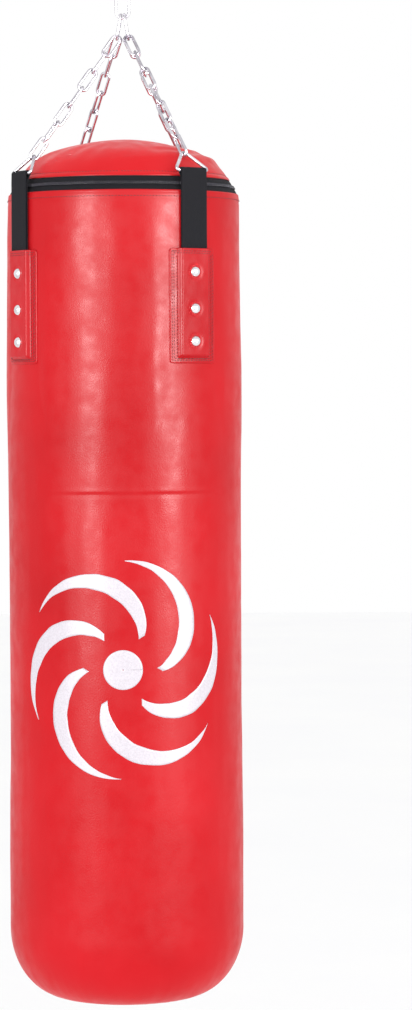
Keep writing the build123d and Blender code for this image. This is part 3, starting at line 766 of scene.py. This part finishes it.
def metal(name, dark, light, roughness, scale=55.0, stretch=None, coat=0.0):
    """Plated steel: cloudy plating with duller, darker patches, and fine scratches."""
    material, nodes, links, shader = new_material(name)
    place = nodes.new("ShaderNodeTexCoord").outputs["Object"]
    cloud = noise_node(nodes, links, place, scale, 5.0)
    colour = ramp_node(nodes, links, cloud.outputs["Fac"], [(0.32, dark), (0.66, light)])
    links.new(colour.outputs["Color"], shader.inputs["Base Color"])
    scratch = noise_node(nodes, links, place, 700.0, 3.0, stretch or (1.0, 1.0, 0.12))
    shine = ramp_node(nodes, links, cloud.outputs["Fac"], [
        (0.3, (roughness + 0.12,) * 3 + (1,)), (0.7, (roughness,) * 3 + (1,))])
    links.new(shine.outputs["Color"], shader.inputs["Roughness"])
    bump_chain(nodes, links, shader, [(scratch.outputs["Fac"], 0.00006, 0.35)])
    set_values(shader, Metallic=1.0, Coat_Weight=coat)
    return material


def plain_fibre(name, dark, light, roughness=0.85, scale=160.0):
    """Foam, lining and rags inside the bag, thread, print and moulded coil."""
    material, nodes, links, shader = new_material(name)
    place = nodes.new("ShaderNodeTexCoord").outputs["Object"]
    cloud = noise_node(nodes, links, place, scale, 6.0)
    colour = ramp_node(nodes, links, cloud.outputs["Fac"], [(0.35, dark), (0.65, light)])
    links.new(colour.outputs["Color"], shader.inputs["Base Color"])
    bump_chain(nodes, links, shader, [(cloud.outputs["Fac"], 0.0003, 0.4)])
    set_values(shader, Roughness=roughness)
    return material


RED_WALL = leather("wall_leather_red",
                   (0.59, 0.006, 0.011, 1), (0.67, 0.008, 0.014, 1), (0.74, 0.012, 0.020, 1))
RED_LID = leather("lid_leather_red",
                  (0.64, 0.009, 0.013, 1), (0.73, 0.012, 0.018, 1), (0.79, 0.017, 0.024, 1), 0.36, 0.05)
RED_PATCH = leather("patch_leather_red",
                    (0.54, 0.006, 0.011, 1), (0.63, 0.009, 0.016, 1), (0.71, 0.013, 0.022, 1), 0.38)
THREAD = plain_fibre("stitch_thread",
                     (0.13, 0.003, 0.008, 1), (0.24, 0.006, 0.012, 1), 0.55, 900.0)
WEB_BLACK = woven("webbing_black",
                  (0.006, 0.006, 0.009, 1), (0.022, 0.021, 0.030, 1), 2600.0, 1900.0)
TAPE_BLACK = woven("zipper_tape_black",
                   (0.006, 0.006, 0.009, 1), (0.024, 0.022, 0.032, 1), 5200.0, 5200.0, 0.7)
COIL_BLACK = plain_fibre("zipper_coil_black",
                         (0.030, 0.028, 0.040, 1), (0.070, 0.064, 0.090, 1), 0.32, 300.0)
STEEL = metal("zinc_steel", (0.34, 0.32, 0.36, 1), (0.72, 0.70, 0.74, 1), 0.24)
HOOK_STEEL = metal("hook_steel", (0.46, 0.46, 0.48, 1), (0.74, 0.74, 0.75, 1), 0.26)
RIVET = metal("rivet_nickel", (0.62, 0.61, 0.63, 1), (0.86, 0.86, 0.88, 1), 0.13, 120.0)
ZIP_METAL = metal("zipper_enamel",
                  (0.020, 0.020, 0.024, 1), (0.060, 0.060, 0.066, 1), 0.34, 200.0, coat=0.4)
LINING = plain_fibre("lining_cloth", (0.52, 0.49, 0.43, 1), (0.70, 0.67, 0.60, 1))
FOAM = plain_fibre("foam_grey", (0.16, 0.16, 0.17, 1), (0.26, 0.26, 0.28, 1))
RAGS = plain_fibre("rag_mix", (0.18, 0.20, 0.30, 1), (0.55, 0.50, 0.46, 1), 0.9, 30.0)
PRINT = plain_fibre("print_white", (0.72, 0.67, 0.73, 1), (0.82, 0.77, 0.84, 1), 0.42, 420.0)


def dress_frame():
    """Give every CAD node that shows its finished material."""
    finishes = (
        (("leg_chain", "triangle_ring", "collector", "riser"), STEEL),
        (("hook", "swivel", "gate"), HOOK_STEEL),
        (("rivet",), RIVET),
        (("zipper_tape",), TAPE_BLACK),
        (("zipper_coil",), COIL_BLACK),
        (("zipper_slider", "zipper_pull", "zipper_end"), ZIP_METAL),
        (("strap_patch",), RED_PATCH),
        (("strap_",), WEB_BLACK),
        (("lid_cover", "lid_hinge"), RED_LID),
        (("cover_",), RED_WALL),
        (("inner_liner",), LINING),
        (("foam", "bottom_foam", "lid_pad"), FOAM),
        (("rag",), RAGS),
    )
    for name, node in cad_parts.items():
        for starts, material in finishes:
            if name.startswith(starts):
                for material_slot in node.material_slots:
                    material_slot.material = material
                break


dress_frame()
make_wall(RED_WALL)
make_lid(RED_LID)
make_base(RED_WALL)
for place, azimuth in STRAPS.items():
    make_patch(place, azimuth, RED_PATCH, THREAD)
    make_strap(place, azimuth, WEB_BLACK)

TRACK_START = SEAM_AZIMUTH + HINGE_HALF - 360 + TRACK_GAP
TRACK_END = SEAM_AZIMUTH - HINGE_HALF - TRACK_GAP
upper_tape = band_slab("tape_upper", TRACK_START, TRACK_END, TAPE_UPPER, TAPE_BLACK)
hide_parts("zipper_tape_upper")
lower_tape = band_slab("tape_lower", TRACK_START, TRACK_END, TAPE_LOWER, TAPE_BLACK)
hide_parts("zipper_tape_lower")
make_coil("coil_upper", -1, TRACK_START, TRACK_END, COIL_BLACK, "zipper_coil_upper")
make_coil("coil_lower", 1, TRACK_START, TRACK_END, COIL_BLACK, "zipper_coil_lower")
hinge = band_slab("hinge_leather", SEAM_AZIMUTH - HINGE_HALF, SEAM_AZIMUTH + HINGE_HALF,
                  (TAPE_UPPER[0], TAPE_LOWER[1]), RED_LID)
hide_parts("lid_hinge_strip")

ROUND = [step * 0.75 for step in range(481)]
wall_rows = [ring_line(ROUND, lambda a, p: spatial(RADIUS + 0.25 * ripple(a, HEM_Z) + p, a, HEM_Z), 0.00005)]
seam_length = WALL_TOP - WALL_FOOT - SEAM_ROW_SPARE
heights = [WALL_TOP - SEAM_ROW_TOP - seam_length * i / 300 for i in range(301)]
for row_offset in (-SEAM_ROW_OFFSET, SEAM_ROW_OFFSET):
    seam = SEAM_AZIMUTH + row_offset
    wall_rows.append(([wall_point(seam, z, 0.0001) for z in heights], [spatial(1, seam, 0)] * len(heights)))
make_stitches("wall_stitching", wall_rows, THREAD)
LID_ROW_R = LID_EDGE - LID_ROW_INSET
LID_ROW_Z = SHOULDER_Z + math.sqrt(SHOULDER ** 2 - (LID_ROW_R - SHOULDER_R) ** 2)
lid_row = ring_line(ROUND, lambda a, p: spatial(LID_ROW_R + p, a, LID_ROW_Z + p), -0.0004)
make_stitches("lid_stitching", [lid_row], THREAD)
make_emblem(PRINT)


# ---- floor, light and camera ----
FLOOR_Z = WALL_FOOT - 0.42
FLOOR_REACH = 14.0
# name, azimuth, distance, height, width, tall, power, height aimed at, whether it only makes reflections
LIGHTS = (
    ("sheen_right", 46, 2.6, -0.35, 0.5, 1.3, 170, -0.5, True),
    ("sheen_left", -32, 2.8, -0.35, 0.5, 1.3, 170, -0.5, True),
    ("fill_front", 8, 4.5, 1.2, 2.4, 2.4, 38, -0.4, False),
)
CAMERA_DISTANCE = 4.7
PICTURE_HEIGHT = 1.399
PICTURE_WIDTH_SHIFT = 0.113
EYE_BELOW_LID = 0.3366
SENSOR = 36.0
LENS_SHIFT = -0.12
ROLL = 0.3


def make_stage():
    """Pale floor under a plain white sky."""
    mesh = bpy.data.meshes.new("floor")
    sides = ((-1, -1), (1, -1), (1, 1), (-1, 1))
    mesh.from_pydata([(x * FLOOR_REACH, y * FLOOR_REACH, FLOOR_Z) for x, y in sides], [], [(0, 1, 2, 3)])
    floor = bpy.data.objects.new("floor", mesh)
    bpy.context.collection.objects.link(floor)
    material, nodes, links, shader = new_material("pale_floor")
    dust = noise_node(nodes, links, nodes.new("ShaderNodeTexCoord").outputs["Object"], 2.0)
    tones = [(0.3, (0.95, 0.95, 0.96, 1)), (0.7, (0.97, 0.97, 0.97, 1))]
    tone = ramp_node(nodes, links, dust.outputs["Fac"], tones)
    links.new(tone.outputs["Color"], shader.inputs["Base Color"])
    set_values(shader, Roughness=0.8)
    floor.data.materials.append(material)
    world = bpy.data.worlds.new("studio")
    world.use_nodes = True
    background = world.node_tree.nodes["Background"]
    background.inputs["Color"].default_value = (1, 1, 1, 1)
    background.inputs["Strength"].default_value = 1.0
    bpy.context.scene.world = world
    bpy.context.scene.view_settings.view_transform = "Standard"


def soft_light(name, azimuth, distance, height, width, tall, power, target_z, gloss_only):
    """Area light at a place round the bag, turned to a height on its axis."""
    data = bpy.data.lights.new(name, "AREA")
    data.shape = "RECTANGLE"
    data.size = width
    data.size_y = tall
    data.energy = power
    light = bpy.data.objects.new(name, data)
    bpy.context.collection.objects.link(light)
    light.location = spatial(distance, azimuth, height)
    light.visible_diffuse = not gloss_only
    toward = Vector((0, 0, target_z)) - light.location
    light.rotation_euler = toward.to_track_quat("-Z", "Y").to_euler()


make_stage()
for light_row in LIGHTS:
    soft_light(*light_row)

camera_data = bpy.data.cameras.new("camera")
camera_data.sensor_fit = "VERTICAL"
camera_data.sensor_height = SENSOR
camera_data.lens = SENSOR * CAMERA_DISTANCE / PICTURE_HEIGHT
camera_data.shift_y = LENS_SHIFT
camera = bpy.data.objects.new("camera", camera_data)
bpy.context.collection.objects.link(camera)
camera.location = (PICTURE_WIDTH_SHIFT, -CAMERA_DISTANCE, LID_TOP - EYE_BELOW_LID)
camera.rotation_euler = (math.radians(90), math.radians(ROLL), 0)
bpy.context.scene.camera = camera
